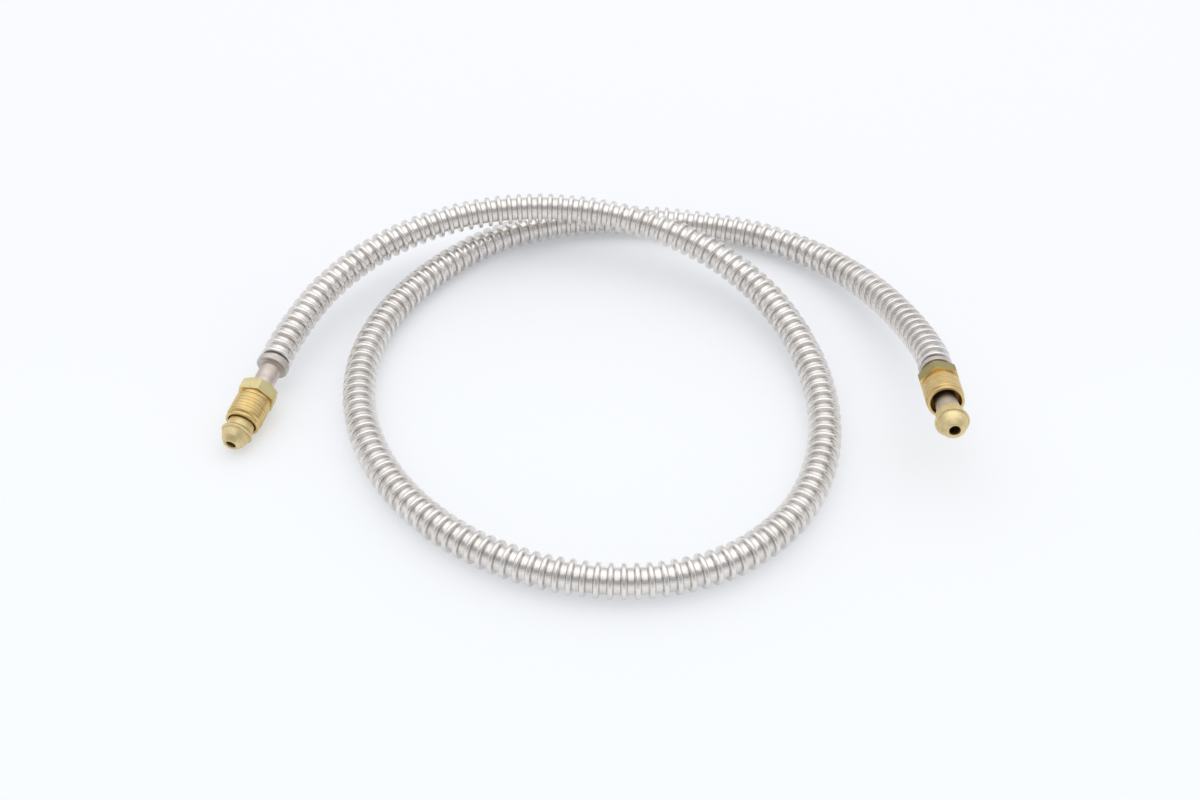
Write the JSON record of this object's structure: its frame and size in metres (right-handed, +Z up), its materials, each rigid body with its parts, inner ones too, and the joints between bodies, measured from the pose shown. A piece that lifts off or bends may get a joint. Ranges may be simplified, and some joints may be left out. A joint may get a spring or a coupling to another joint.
{
  "type": "flexible gas hose",
  "caption": "Corrugated steel gas hose laid in a loop, with a steel tube stub, a ball nipple and a loose union nut at both ends.",
  "frame": {"origin": "centre of the bounding box, on the surface that the hose lies on", "axes": "+X across the loop towards the raised right end, +Y away from both ends over the crossing, +Z up"},
  "size_m": [0.2014, 0.1589, 0.0298],
  "materials": {
    "hose_steel": "bright annealed stainless steel, formed into rings",
    "collar_steel": "dull stainless steel",
    "tube_steel": "drawn steel, slightly warm",
    "nut_brass": "turned brass",
    "nipple_brass": "pale turned brass"
  },
  "bodies": {
    "hose": {"hose": "hose_steel", "left_collar": "collar_steel", "right_collar": "collar_steel", "left_tube": "tube_steel", "right_tube": "tube_steel", "left_nipple": "nipple_brass", "right_nipple": "nipple_brass"},
    "left_nut": {"left_nut": "nut_brass"},
    "right_nut": {"right_nut": "nut_brass"}
  },
  "joints": [
    {"name": "left_nut_slide", "type": "slide", "parent": "hose", "child": "left_nut", "axis": [-0.2466, -0.9604, -0.1298], "range_m": [-0.0075, 0.0027]},
    {"name": "right_nut_slide", "type": "slide", "parent": "hose", "child": "right_nut", "axis": [-0.0575, -0.9778, 0.2013], "range_m": [-0.0017, 0.0085]}
  ]
}
